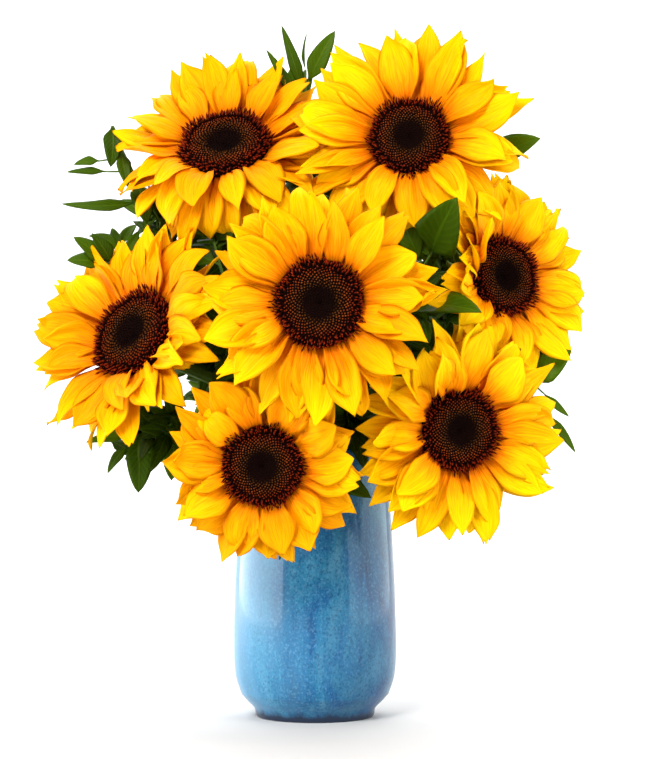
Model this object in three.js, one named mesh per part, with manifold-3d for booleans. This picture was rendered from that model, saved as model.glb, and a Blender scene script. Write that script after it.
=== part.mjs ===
// Seven cut sunflowers and their greenery standing in a glazed stoneware vase.
// Millimetres, +Z up, origin at the centre of the vase's flat underside, -Y is the front.
import * as THREE from "three";
import { mergeVertices } from "three/addons/utils/BufferGeometryUtils.js";
import Module from "manifold-3d";

const wasm = await Module();
wasm.setup();

// ---------------------------------------------------------------- driving dimensions

const CLEARANCE = 0.4; // air left where one piece is cut round another
const SMALLEST_EDGE = 0.12; // edges shorter than this are merged after a cut
const TIP_ROOM = 3; // times the clearance that is left past a ray's sharp tip

const VASE = {
  height: 168,
  wall: 5,
  floor: 8,
  footRadius: 37,
  segments: 22,
  // outer radius at a height, from the foot's shoulder to just under the lip
  outside: [[38, 6], [43.6, 11.5], [47.6, 18], [50, 27], [50.7, 44], [49.9, 84], [48, 118], [44.6, 165]],
};

const BUNDLE = {
  radius: 33, // of the ring of stems at the vase's mouth
  footRadius: 26, // and of the ring of their cut ends
  twist: 45, // degrees that the stems turn from the mouth down to the floor
  foot: 10, // height of the cut ends above the vase's underside
};

const HEAD = {
  discBelow: 8, // the disc's depth behind its front face
  backDepth: 26, // from the disc's front face to the top of the stem
  stemTop: 5,
  stemFoot: 5.4,
  rayRoot: -3.5, // height of the rays' roots, measured along the way the head faces
  rayCount: 16,
  rayValley: 0.8, // how far the notch between two rays is from the root, as a share of a ray
  rayThick: 2.4,
  discSides: 14,
  calyxSides: 10,
  stemSides: 6,
};

// A head faces `turn` degrees to the right of the front and `lift` degrees above level.
// `cup` is how far its rays rise from the disc's plane, and `curl` how much they bend on the way out.
// Each lobe changes both over a part of the ring, round the angle `at` (0 right, 90 up), `spread` wide.
const BLOOMS = [
  {
    name: "centre", at: [3, -118, 254.3], turn: -3, lift: 3, disc: 26, reach: 69,
    mouth: -86, rise: 62, neck: 34, cup: 14, curl: -12,
    lobes: [{ at: -80, spread: 60, cup: -4, curl: -14 }],
  },
  {
    name: "upper_right", at: [57.2, -55, 356.3], turn: -6, lift: 16, disc: 24.5, reach: 72,
    mouth: 42, rise: 95, neck: 50, cup: 14, curl: -10,
    lobes: [{ at: -85, spread: 60, cup: -10, curl: -56 }],
  },
  {
    name: "upper_left", at: [-55.4, -25, 354.3], turn: -10, lift: 43, disc: 28, reach: 72,
    mouth: 132, rise: 100, neck: 50, cup: 22, curl: -14,
    lobes: [{ at: -90, spread: 75, cup: -14, curl: -86 }, { at: 90, spread: 80, cup: 18, curl: 4 }],
  },
  {
    name: "left", at: [-109.8, -45, 237.6], turn: -39, lift: 25, disc: 28.5, reach: 73,
    mouth: 178, rise: 45, neck: 32, cup: 18, curl: -12,
    lobes: [{ at: -20, spread: 75, cup: 34, curl: -50 }, { at: 180, spread: 75, cup: 16, curl: 0 }],
  },
  {
    name: "right", at: [115.3, -35, 272.7], turn: 33, lift: 8, disc: 24.5, reach: 65.5,
    mouth: -10, rise: 60, neck: 34, cup: 14, curl: -8,
    lobes: [{ at: 165, spread: 100, cup: 56, curl: -40 }],
  },
  {
    name: "lower_right", at: [86.3, -75, 179.9], turn: 17, lift: -4, disc: 24.5, reach: 67,
    mouth: -48, rise: 44, neck: 30, cup: 12, curl: -16,
    lobes: [{ at: 140, spread: 65, cup: 38, curl: -40 }],
  },
  {
    name: "lower_left", at: [-30.5, -98, 159.2], turn: -3, lift: -4, disc: 24, reach: 58,
    mouth: -122, rise: 46, neck: 26, cup: 10, curl: -20,
    lobes: [],
  },
];

const SPRIG = {
  ring: 34, // of the thin stalks of greenery at the vase's mouth
  foot: 112, // height of their cut ends
  radius: 1.7,
  tipRadius: 0.9,
  bladeThick: 1.6,
  arch: 0.07, // how far a blade bows, as a share of its length
  fillFrom: 0.42, // the share of the stalk from which a filled sprig carries leaves
  fillTurn: 137.5, // degrees from one filled leaf to the next round the stalk
  fillLift: 42, // degrees that a filled leaf stands off the stalk
};

// A stalk leaves the vase at the angle `mouth`, climbs by `rise` and arrives at `end` from `comes`.
// Each leaf: share of the stalk where it joins, its tip, its width, and how much of that reach is bare stalk.
// `fill` leaves more of the same length and width go round the stalk in a spiral.
const SPRIGS = [
  {
    name: "sprig_top", mouth: 83, rise: 90, end: [-6, 4, 404], comes: [0, -0.1, 1], fill: 3,
    length: 34, width: 13,
    leaves: [[0.93, [-21, 0, 431.6], 9, 0.1], [0.9, [-30.5, -3, 416], 9, 0.1],
      [0.96, [12.5, 0, 428], 13, 0.1],
      [1, [-5, 2, 427], 5, 0]],
  },
  {
    name: "sprig_right_high", mouth: 62, rise: 80, end: [112, 2, 350], comes: [0.7, -0.3, 0.6], fill: 0,
    leaves: [[0.96, [139.6, -18, 359], 20, 0.1], [0.62, [62, 52, 322], 20, 0.1],
      [0.8, [98, 36, 316], 20, 0.1]],
  },
  {
    name: "sprig_left_high", mouth: 150, rise: 60, end: [-126, -6, 368], comes: [-0.3, -0.1, 1], fill: 0,
    leaves: [[0.78, [-157.7, -12, 319], 9, 0.15], [0.84, [-104, -16, 306], 15, 0.1],
      [0.86, [-154.6, -8, 339], 6, 0.4],
      [0.9, [-150, -9, 343.5], 7, 0.5], [1, [-127, -9, 342], 13, 0], [0.93, [-116, -12, 329], 10, 0.1],
      [0.62, [-112, 22, 300], 16, 0.1], [0.5, [-118, 26, 262], 16, 0.1]],
  },
  {
    name: "sprig_left_mid", mouth: 163, rise: 40, end: [-133, -5, 284], comes: [-1, -0.3, 0.4], fill: 2,
    length: 38, width: 15,
    leaves: [[0.98, [-150, -10, 298.5], 12, 0], [0.94, [-139, -8, 301], 11, 0.1],
      [0.99, [-154, -10, 284], 12, 0]],
  },
  {
    name: "sprig_centre_left", mouth: -150, rise: 40, end: [-62, -34, 296], comes: [-0.2, 0, 1], fill: 0,
    leaves: [[1, [-79, -33, 318], 17, 0], [0.97, [-48, -36, 312], 15, 0.1], [0.88, [-84, -24, 290], 17, 0.1],
      [0.75, [-66, -52, 262], 16, 0.2], [0.62, [-74, -36, 226], 17, 0.1], [0.55, [-62, -58, 206], 16, 0.2]],
  },
  {
    name: "sprig_centre_right", mouth: 16, rise: 40, end: [72, -50, 288], comes: [0.5, -0.6, 0.7], fill: 0,
    leaves: [[0.97, [86, -86, 321], 30, 0.05], [0.7, [101, -97, 249], 19, 0.3],
      [0.8, [67.6, -84, 230], 9, 0.5],
      [0.7, [84, -28, 232], 16, 0.2], [0.9, [48, -46, 318], 16, 0.1]],
  },
  {
    name: "sprig_right_low", mouth: -29, rise: 14, end: [136, -20, 208], comes: [1, 0, 0.2], fill: 0,
    leaves: [[0.93, [158, -22, 228], 20, 0.05], [0.97, [157, -20, 187], 6, 0.3],
      [0.9, [161, -20, 164.6], 7, 0.4],
      [0.7, [118, -6, 176], 16, 0.1], [0.8, [124, 8, 232], 16, 0.1], [0.5, [88, 6, 196], 16, 0.1]],
  },
  {
    name: "sprig_left_low", mouth: -138, rise: 14, end: [-110, -22, 176], comes: [-1, 0, -0.3], fill: 0,
    leaves: [[0.98, [-142, -15, 171], 9, 0.1], [0.97, [-109, -20, 140], 17, 0.05],
      [0.99, [-128, -20, 152], 7, 0.3],
      [0.75, [-88, -30, 148], 15, 0.1], [0.6, [-84, 4, 176], 16, 0.1], [0.5, [-66, -40, 196], 15, 0.1]],
  },
  {
    name: "sprig_front", mouth: -67, rise: 16, end: [22, -60, 188], comes: [0.2, -1, 0.3], fill: 0,
    leaves: [[1, [42, -70, 200], 15, 0], [0.85, [36, -84, 195], 16, 0.1], [0.95, [10, -70, 206], 14, 0.1],
      [0.7, [44, -44, 210], 15, 0.1]],
  },
  {
    name: "sprig_front_low", mouth: -104, rise: 12, end: [-14, -60, 160], comes: [-0.1, -0.6, -0.8], fill: 0,
    leaves: [[1, [-21, -70, 102], 14, 0.1], [0.8, [-48, -62, 190], 14, 0.1], [0.9, [34, -68, 143], 13, 0.35]],
  },
  {
    name: "sprig_back_1", mouth: 118, rise: 40, end: [-92, 52, 232], comes: [-1, 0.2, 0.3],
    fill: 3, length: 52, width: 24, leaves: [],
  },
  {
    name: "sprig_back_2", mouth: 111, rise: 70, end: [-62, 46, 320], comes: [-0.5, 0.2, 0.9],
    fill: 3, length: 52, width: 24, leaves: [],
  },
  {
    name: "sprig_back_3", mouth: 104, rise: 20, end: [-44, 92, 196], comes: [-0.4, 0.8, 0],
    fill: 3, length: 50, width: 24, leaves: [],
  },
  {
    name: "sprig_back_4", mouth: 97, rise: 60, end: [-16, 78, 286], comes: [-0.1, 0.6, 0.8],
    fill: 3, length: 52, width: 24, leaves: [],
  },
  {
    name: "sprig_back_5", mouth: 90, rise: 80, end: [4, 46, 346], comes: [0, 0.2, 1],
    fill: 3, length: 50, width: 24, leaves: [],
  },
  {
    name: "sprig_back_6", mouth: 76, rise: 20, end: [26, 96, 204], comes: [0.3, 0.9, 0],
    fill: 3, length: 50, width: 24, leaves: [],
  },
  {
    name: "sprig_back_7", mouth: 69, rise: 60, end: [48, 62, 292], comes: [0.5, 0.4, 0.8],
    fill: 3, length: 52, width: 24, leaves: [],
  },
  {
    name: "sprig_back_8", mouth: 55, rise: 40, end: [86, 54, 226], comes: [1, 0.3, 0.2],
    fill: 3, length: 52, width: 24, leaves: [],
  },
  {
    name: "sprig_right_back", mouth: 26, rise: 50, end: [104, 22, 286], comes: [0.7, 0.2, 0.7],
    fill: 3, length: 50, width: 24, leaves: [],
  },
];

// ---------------------------------------------------------------- small helpers

const rad = THREE.MathUtils.degToRad;
const vec = (x, y, z) => new THREE.Vector3(x, y, z);
const onCircle = (radius, angle, z) => vec(radius * Math.cos(rad(angle)), radius * Math.sin(rad(angle)), z);

function geometryFrom(vertices, faces) {
  const geometry = new THREE.BufferGeometry();
  const flat = vertices.flatMap((v) => [v.x, v.y, v.z]);
  geometry.setAttribute("position", new THREE.Float32BufferAttribute(flat, 3));
  geometry.setIndex(faces.flat());
  return geometry;
}

function solidFrom(geometry) {
  const bare = geometry.clone();
  bare.deleteAttribute("normal");
  bare.deleteAttribute("uv");
  const merged = mergeVertices(bare, 1e-3);
  return new wasm.Manifold(
    new wasm.Mesh({
      numProp: 3,
      vertProperties: new Float32Array(merged.attributes.position.array),
      triVerts: new Uint32Array(merged.index.array),
    }),
  );
}

function geometryOf(solid) {
  const mesh = solid.getMesh();
  const geometry = new THREE.BufferGeometry();
  geometry.setAttribute("position", new THREE.BufferAttribute(new Float32Array(mesh.vertProperties), 3));
  geometry.setIndex(new THREE.BufferAttribute(new Uint32Array(mesh.triVerts), 1));
  geometry.computeVertexNormals();
  return geometry;
}

const largestBody = (solid) => solid.decompose().sort((a, b) => b.volume() - a.volume())[0];

// A closed tube along points, with a radius for each of them, made larger all round by `grow`.
function taperedTube(points, radii, sides, grow) {
  const vertices = [];
  const faces = [];
  let side = null;
  points.forEach((point, i) => {
    const ahead = points[Math.min(i + 1, points.length - 1)];
    const behind = points[Math.max(i - 1, 0)];
    const along = ahead.clone().sub(behind).normalize();
    const last = side || vec(1, 0.2, 0);
    side = last.clone().addScaledVector(along, -last.dot(along)).normalize();
    const other = along.clone().cross(side);
    const reach = radii[i] + grow;
    const past = i === 0 ? -grow : i === points.length - 1 ? grow : 0;
    const middle = point.clone().addScaledVector(along, past);
    for (let k = 0; k < sides; k++) {
      const turn = (2 * Math.PI * k) / sides;
      vertices.push(
        middle
          .clone()
          .addScaledVector(side, reach * Math.cos(turn))
          .addScaledVector(other, reach * Math.sin(turn)),
      );
    }
  });
  for (let i = 0; i + 1 < points.length; i++) {
    for (let k = 0; k < sides; k++) {
      const a = i * sides + k;
      const b = i * sides + ((k + 1) % sides);
      faces.push([a, b, b + sides], [a, b + sides, a + sides]);
    }
  }
  const top = (points.length - 1) * sides;
  for (let k = 1; k + 1 < sides; k++) faces.push([0, k + 1, k], [top, top + k, top + k + 1]);
  return geometryFrom(vertices, faces);
}

// ---------------------------------------------------------------- vase

function vaseSolid(grow = 0) {
  const { height, wall, floor, footRadius, outside } = VASE;
  const lip = outside[outside.length - 1][0];
  const skin = outside.map(([radius, z]) => new THREE.Vector2(radius + grow, z));
  const lining = outside
    .filter(([, z]) => z > floor + 4)
    .map(([radius, z]) => new THREE.Vector2(radius - wall - grow, z))
    .reverse();
  const profile = [
    new THREE.Vector2(0, -grow),
    new THREE.Vector2(footRadius + grow, -grow),
    ...skin,
    new THREE.Vector2(lip - wall / 2, height + grow),
    ...lining,
    new THREE.Vector2(footRadius - 1, floor + grow),
    new THREE.Vector2(0, floor + grow),
  ];
  const lathe = new THREE.LatheGeometry(profile, VASE.segments);
  lathe.rotateX(Math.PI / 2);
  return solidFrom(lathe);
}

// ---------------------------------------------------------------- sunflower heads

// The head's own frame: x to its right, y up its face, z the way it faces.
function headFrame(bloom) {
  const turn = rad(bloom.turn);
  const lift = rad(bloom.lift);
  const facing = vec(Math.sin(turn) * Math.cos(lift), -Math.cos(turn) * Math.cos(lift), Math.sin(lift));
  const right = vec(Math.cos(turn), Math.sin(turn), 0);
  const up = facing.clone().cross(right);
  return new THREE.Matrix4().makeBasis(right, up, facing).setPosition(...bloom.at);
}

const facingOf = (bloom) => vec(0, 0, 1).transformDirection(headFrame(bloom));

// How strongly a lobe acts at an angle round the head: 1 at its middle, 0 past its spread.
function lobeShare(lobe, angle) {
  const away = Math.abs(((((angle - lobe.at) % 360) + 540) % 360) - 180);
  return away < lobe.spread ? 0.5 + 0.5 * Math.cos((Math.PI * away) / lobe.spread) : 0;
}

// A ray's middle line, as distance from the axis, height along it, and slope, at a share of its length.
function rayLine(bloom, angle, share) {
  let cup = bloom.cup;
  let curl = bloom.curl;
  for (const lobe of bloom.lobes) {
    cup += lobe.cup * lobeShare(lobe, angle);
    curl += lobe.curl * lobeShare(lobe, angle);
  }
  const length = bloom.reach - bloom.disc;
  const steps = 6;
  let radius = bloom.disc + 2 * CLEARANCE;
  let height = HEAD.rayRoot;
  for (let i = 0; i < steps; i++) {
    const slope = rad(cup + curl * share * ((i + 0.5) / steps));
    radius += (length * share * Math.cos(slope)) / steps;
    height += (length * share * Math.sin(slope)) / steps;
  }
  return { radius, height, slope: rad(cup + curl * share) };
}

function raysSolid(bloom, grow = 0) {
  const around = 2 * HEAD.rayCount;
  const length = bloom.reach - bloom.disc;
  const vertices = [];
  const faces = [];
  const place = (angle, share, offset) => {
    const line = rayLine(bloom, angle, share);
    const radius = line.radius - offset * Math.sin(line.slope);
    vertices.push(
      vec(
        radius * Math.cos(rad(angle)),
        radius * Math.sin(rad(angle)),
        line.height + offset * Math.cos(line.slope),
      ),
    );
  };
  const half = HEAD.rayThick / 2 + grow;
  for (let i = 0; i < around; i++) {
    const angle = (360 * i) / around;
    const end = (i % 2 ? HEAD.rayValley : 1) + (TIP_ROOM * grow) / length;
    place(angle, -grow / length, half);
    place(angle, 0.55, half);
    place(angle, end, 0);
    place(angle, 0.55, -half);
    place(angle, -grow / length, -half);
  }
  const ring = 5;
  for (let i = 0; i < around; i++) {
    const a = i * ring;
    const b = ((i + 1) % around) * ring;
    for (let k = 0; k < ring; k++) {
      const next = (k + 1) % ring;
      faces.push([a + k, a + next, b + next], [a + k, b + next, b + k]);
    }
  }
  return solidFrom(geometryFrom(vertices, faces)).transform(headFrame(bloom).elements);
}

function turned(profile, segments, bloom) {
  const lathe = new THREE.LatheGeometry(profile.map(([radius, z]) => new THREE.Vector2(radius, z)), segments);
  lathe.rotateX(Math.PI / 2);
  lathe.applyMatrix4(headFrame(bloom));
  return solidFrom(lathe);
}

function discSolid(bloom, grow = 0) {
  const r = bloom.disc + grow;
  const low = -HEAD.discBelow - grow;
  const profile = [[0, low], [r - 1.5, low], [r, 2 + grow], [r - 6, 4.5 + grow], [0, 1 + grow]];
  return turned(profile, HEAD.discSides, bloom);
}

function calyxSolid(bloom, grow = 0) {
  const r = bloom.disc + grow;
  const top = -HEAD.discBelow - CLEARANCE - 0.1 + grow;
  const foot = -HEAD.backDepth - grow;
  const profile = [
    [0, foot], [7 + grow, foot], [r * 0.7, foot + 6], [r - 0.5, top - 3], [r - 2, top], [0, top],
  ];
  return turned(profile, HEAD.calyxSides, bloom);
}

// Where a stem of the bundle is at a height inside the vase: all lean the same way round, so none cross.
function bundlePoint(radius, mouth, z) {
  const high = onCircle(radius, mouth, VASE.height);
  const low = onCircle(radius + BUNDLE.footRadius - BUNDLE.radius, mouth - BUNDLE.twist, BUNDLE.foot);
  return low.lerp(high, (z - BUNDLE.foot) / (VASE.height - BUNDLE.foot));
}

// The line of a cut stem: straight up the vase, then a bend that arrives from `comes`.
function stemPoints(radius, mouth, foot, rise, end, comes, pull, steps) {
  const low = bundlePoint(radius, mouth, foot);
  const high = bundlePoint(radius, mouth, VASE.height);
  const lean = high.clone().sub(low).normalize();
  const bend = new THREE.CubicBezierCurve3(
    high,
    high.clone().addScaledVector(lean, rise),
    end.clone().addScaledVector(comes, -pull),
    end,
  );
  return [low, ...bend.getPoints(steps)];
}

function stemSolid(bloom, grow = 0) {
  const facing = facingOf(bloom);
  const end = vec(...bloom.at).addScaledVector(facing, -HEAD.backDepth - 2 * CLEARANCE);
  const points = stemPoints(BUNDLE.radius, bloom.mouth, BUNDLE.foot, bloom.rise, end, facing, bloom.neck, 5);
  const taper = (HEAD.stemTop - HEAD.stemFoot) / (points.length - 1);
  const radii = points.map((_, i) => HEAD.stemFoot + taper * i);
  return solidFrom(taperedTube(points, radii, HEAD.stemSides, grow));
}

// ---------------------------------------------------------------- greenery

// One leaf: a thin stalk for its first part `bare`, then a blade, flat on the side towards `face`
// and keeled on the other, that bows on its way to the tip.
function leafSolid(from, tip, width, bare, face, grow) {
  const reach = tip.clone().sub(from);
  const length = reach.length();
  const along = reach.clone().normalize();
  const across = along.clone().cross(face).normalize();
  const out = across.clone().cross(along);
  const stations = [[0, 0.8], [bare + (1 - bare) * 0.38, width * 0.5]];
  if (bare > 0.2) stations.splice(1, 0, [bare, 0.8]);
  if (width > 15) stations.push([bare + (1 - bare) * 0.76, width * 0.32]);
  const vertices = [];
  for (const [share, wide] of stations) {
    const middle = from.clone().addScaledVector(reach, share);
    middle.addScaledVector(out, 4 * SPRIG.arch * length * share * (1 - share));
    if (share === 0) middle.addScaledVector(along, -grow);
    vertices.push(
      middle.clone().addScaledVector(across, wide + grow),
      middle.clone().addScaledVector(out, 1.5 * grow),
      middle.clone().addScaledVector(across, -wide - grow),
      middle.clone().addScaledVector(out, -SPRIG.bladeThick - grow),
    );
  }
  const apex = vertices.length;
  vertices.push(tip.clone().addScaledVector(along, grow));
  const faces = [[0, 1, 2], [0, 2, 3]];
  for (let ring = 0; ring < apex; ring += 4) {
    for (let k = 0; k < 4; k++) {
      const a = ring + k;
      const b = ring + ((k + 1) % 4);
      if (ring + 4 < apex) faces.push([a, b + 4, b], [a, a + 4, b + 4]);
      else faces.push([a, apex, b]);
    }
  }
  return solidFrom(geometryFrom(vertices, faces));
}

function sprigSolid(sprig, grow = 0) {
  const comes = vec(...sprig.comes).normalize();
  const end = vec(...sprig.end);
  const points = stemPoints(SPRIG.ring, sprig.mouth, SPRIG.foot, sprig.rise, end, comes, sprig.rise * 0.8, 4);
  const taper = (SPRIG.tipRadius - SPRIG.radius) / (points.length - 1);
  const radii = points.map((_, i) => SPRIG.radius + taper * i);
  let solid = solidFrom(taperedTube(points, radii, 3, grow));
  const joint = (share) => {
    const at = share * (points.length - 1);
    const i = Math.min(Math.floor(at), points.length - 2);
    const along = points[i + 1].clone().sub(points[i]);
    return { from: points[i].clone().addScaledVector(along, at - i), along: along.normalize() };
  };
  const addLeaf = (share, tip, width, bare) => {
    const front = vec(0.15, -1, 0.45);
    const outward = vec(tip.x, tip.y, 0).normalize().add(vec(0, 0, 0.7));
    solid = solid.add(leafSolid(joint(share).from, tip, width, bare, tip.y < 20 ? front : outward, grow));
  };
  for (const [share, tip, width, bare] of sprig.leaves) addLeaf(share, vec(...tip), width, bare);
  for (let i = 0; i < sprig.fill; i++) {
    const share = SPRIG.fillFrom + ((1 - SPRIG.fillFrom) * (i + 0.5)) / sprig.fill;
    const { from, along } = joint(share);
    const side = along.clone().cross(vec(0.3, 0.2, 1)).normalize();
    side.applyAxisAngle(along, rad(SPRIG.fillTurn * i + sprig.mouth));
    const lift = rad(SPRIG.fillLift);
    const way = along.multiplyScalar(Math.cos(lift)).addScaledVector(side, Math.sin(lift));
    addLeaf(share, from.addScaledVector(way, sprig.length), sprig.width, 0.1);
  }
  return solid;
}

// ---------------------------------------------------------------- assembly

const looks = {
  glaze: new THREE.MeshStandardMaterial({ color: 0x3f86c4, roughness: 0.22, metalness: 0 }),
  ray: new THREE.MeshStandardMaterial({
    color: 0xffc400,
    roughness: 0.55,
    metalness: 0,
    side: THREE.DoubleSide,
  }),
  seed: new THREE.MeshStandardMaterial({ color: 0x2e130a, roughness: 0.9, metalness: 0 }),
  stalk: new THREE.MeshStandardMaterial({ color: 0x5c7a2c, roughness: 0.6, metalness: 0 }),
  leaf: new THREE.MeshStandardMaterial({
    color: 0x2f5a14,
    roughness: 0.45,
    metalness: 0,
    side: THREE.DoubleSide,
  }),
};

const arrangement = new THREE.Group();
const placed = [];

const boxesMeet = (a, b) =>
  [0, 1, 2].every((i) => a.min[i] <= b.max[i] && b.min[i] <= a.max[i]);

// Cuts a piece round everything already placed, and adds it to the arrangement.
function place(name, material, make) {
  let solid = make(0);
  for (const other of placed) {
    if (boxesMeet(solid.boundingBox(), other.room.boundingBox())) solid = solid.subtract(other.room);
  }
  solid = largestBody(solid.simplify(SMALLEST_EDGE));
  placed.push({ name, room: make(CLEARANCE) });
  const mesh = new THREE.Mesh(geometryOf(solid), material);
  mesh.name = name;
  arrangement.add(mesh);
}

place("vase", looks.glaze, vaseSolid);
for (const bloom of BLOOMS) {
  place(`${bloom.name}_disc`, looks.seed, (grow) => discSolid(bloom, grow));
  place(`${bloom.name}_calyx`, looks.stalk, (grow) => calyxSolid(bloom, grow));
  place(`${bloom.name}_stem`, looks.stalk, (grow) => stemSolid(bloom, grow));
}
for (const bloom of BLOOMS) place(`${bloom.name}_rays`, looks.ray, (grow) => raysSolid(bloom, grow));
for (const sprig of SPRIGS) place(sprig.name, looks.leaf, (grow) => sprigSolid(sprig, grow));

export default arrangement;
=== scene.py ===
import functools
import math

import bpy
import numpy as np
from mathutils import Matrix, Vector


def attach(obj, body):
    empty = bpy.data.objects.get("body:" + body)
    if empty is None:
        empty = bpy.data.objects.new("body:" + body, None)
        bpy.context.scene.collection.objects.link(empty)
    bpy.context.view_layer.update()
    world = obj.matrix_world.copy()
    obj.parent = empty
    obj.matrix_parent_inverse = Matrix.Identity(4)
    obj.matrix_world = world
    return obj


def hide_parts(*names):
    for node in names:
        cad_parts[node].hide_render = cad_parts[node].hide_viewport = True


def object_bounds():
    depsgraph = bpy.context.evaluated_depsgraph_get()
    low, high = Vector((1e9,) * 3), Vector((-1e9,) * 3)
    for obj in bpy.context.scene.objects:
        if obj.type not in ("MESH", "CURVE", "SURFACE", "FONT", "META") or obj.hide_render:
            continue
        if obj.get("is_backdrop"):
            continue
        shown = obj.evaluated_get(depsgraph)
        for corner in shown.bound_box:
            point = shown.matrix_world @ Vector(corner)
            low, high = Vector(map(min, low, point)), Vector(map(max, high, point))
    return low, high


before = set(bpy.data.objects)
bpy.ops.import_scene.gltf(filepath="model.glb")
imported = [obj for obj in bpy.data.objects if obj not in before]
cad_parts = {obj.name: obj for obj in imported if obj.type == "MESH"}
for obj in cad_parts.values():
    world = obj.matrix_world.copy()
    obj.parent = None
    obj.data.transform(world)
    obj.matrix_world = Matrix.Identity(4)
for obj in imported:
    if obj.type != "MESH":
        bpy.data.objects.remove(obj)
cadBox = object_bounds()
bodyName = "root"
print("frame loaded")

mm = 0.001


# ---------- camera, lights and floor

view = {
    "distance": 1.6,      # from the vase's axis
    "height": 0.210,
    "aside": 0.00625,
    "lens": 121.4,
    "sensor": 36.0,
}


def place(name, data):
    thing = bpy.data.objects.new(name, data)
    bpy.context.collection.objects.link(thing)
    return thing


camera = place("camera", bpy.data.cameras.new("camera"))
camera.data.lens = view["lens"]
camera.data.sensor_width = view["sensor"]
camera.location = (view["aside"], -view["distance"], view["height"])
camera.rotation_euler = (math.radians(90), 0, 0)
scene = bpy.context.scene
scene.camera = camera
scene.view_settings.view_transform = "Standard"
scene.view_settings.look = "None"

studio = {
    "world": 0.20,
    # name, place, aimed at, width, height, watts, colour if it is not white
    "lamps": [
        ("keyBox", (-0.60, -1.40, 1.25), (0.0, 0.0, 0.26), 0.7, 0.7, 33.0, (1.0, 0.99, 0.97)),
        ("sidePanel", (-0.92, 0.05, 0.16), (0.0, 0.05, 0.16), 1.9, 0.32, 13.0),
        ("fillBox", (1.25, -1.05, 0.85), (0.0, 0.0, 0.24), 0.8, 0.9, 15.0),
        ("edgePanel", (0.92, 0.05, 0.16), (0.0, 0.05, 0.16), 1.7, 0.32, 5.4, (0.88, 1.0, 1.0)),
        ("topBox", (0.05, 0.25, 1.7), (0.0, -0.02, 0.25), 1.2, 1.0, 15.0),
        ("groundBox", (0.0, 2.1, 2.3), (0.0, 2.3, 0.0), 3.4, 2.2, 110.0),
        ("backdropBox", (0.0, 2.2, 2.4), (0.0, 4.0, 0.6), 3.6, 0.8, 130.0),
    ],
    "floor": (0.61, 0.61, 0.61),
    "grain": (0.63, 0.63, 0.63),
    # the floor's half width, the radius of the cove at its back and the height of the wall
    "reach": 3.4,
    "cove": 0.6,
    "wall": 3.2,
}

world = bpy.data.worlds.new("studio")
world.use_nodes = True
background = world.node_tree.nodes["Background"].inputs
background["Color"].default_value = (1, 1, 1, 1)
background["Strength"].default_value = studio["world"]
scene.world = world


def addLamp(name, spot, target, width, height, watts, colour=(1, 1, 1)):
    lamp = place(name, bpy.data.lights.new(name, "AREA"))
    lamp.data.shape = "RECTANGLE"
    lamp.data.size = width
    lamp.data.size_y = height
    lamp.data.energy = watts
    lamp.data.color = colour
    lamp.location = spot
    lamp.rotation_euler = (Vector(target) - Vector(spot)).to_track_quat("-Z", "Y").to_euler()


for lampRow in studio["lamps"]:
    addLamp(*lampRow)


# ---------- mesh helpers

def addPiece(name, verts, faces, material, nodes=(), values=None):
    mesh = bpy.data.meshes.new(name)
    mesh.from_pydata(np.asarray(verts, dtype=float).tolist(), [], [tuple(f) for f in faces])
    for key, column in (values or {}).items():
        layer = mesh.attributes.new(key, "FLOAT", "POINT")
        layer.data.foreach_set("value", np.broadcast_to(column, len(verts)).astype(np.float32))
    mesh.shade_smooth()
    mesh.update()
    placePiece(name, mesh, material, nodes)


def placePiece(name, mesh, material, nodes=()):
    piece = place(name, mesh)
    mesh.materials.clear()
    mesh.materials.append(material)
    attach(piece, bodyName)
    if nodes:
        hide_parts(*nodes)


def nodeShape(node):
    mesh = bpy.data.objects[node].data
    verts = np.empty(len(mesh.vertices) * 3)
    mesh.vertices.foreach_get("co", verts)
    verts = verts.reshape(-1, 3)
    mesh.calc_loop_triangles()
    tris = np.empty(len(mesh.loop_triangles) * 3, dtype=int)
    mesh.loop_triangles.foreach_get("vertices", tris)
    a, b, c = (verts[tris.reshape(-1, 3)[:, k]] for k in range(3))
    weight = np.einsum("ij,ij->i", a, np.cross(b, c))
    return verts, ((a + b + c) / 4 * weight[:, None]).sum(0) / weight.sum()


def unit(v):
    v = np.asarray(v, dtype=float)
    return v / np.linalg.norm(v, axis=-1, keepdims=True)


# joins many small shells, each given as (verts, faces, {name: column})
class Heap:
    def __init__(self):
        self.verts, self.faces, self.values, self.count = [], [], {}, 0

    def add(self, verts, faces, values):
        self.verts.append(verts)
        self.faces.extend([[i + self.count for i in f] for f in faces])
        for key, column in values.items():
            self.values.setdefault(key, []).append(np.broadcast_to(column, len(verts)))
        self.count += len(verts)

    def piece(self, name, material, slotName, nodes=()):
        verts = np.concatenate(self.verts)
        values = {key: np.concatenate(columns) for key, columns in self.values.items()}
        addPiece(name, verts, self.faces, material, nodes, values)


# faces of the two skins of a shell, which meet along its edge
@functools.cache
def shellFaces(nu, nv):
    top = np.arange(nu * nv).reshape(nu, nv)
    under = top.copy()
    under[1:-1, 1:-1] = nu * nv + np.arange((nu - 2) * (nv - 2)).reshape(nu - 2, nv - 2)
    up = np.stack([top[:-1, :-1], top[1:, :-1], top[1:, 1:], top[:-1, 1:]], -1).reshape(-1, 4)
    down = np.stack([under[:-1, :-1], under[:-1, 1:], under[1:, 1:], under[1:, :-1]], -1).reshape(-1, 4)
    return np.concatenate([up, down]).tolist()


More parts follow.
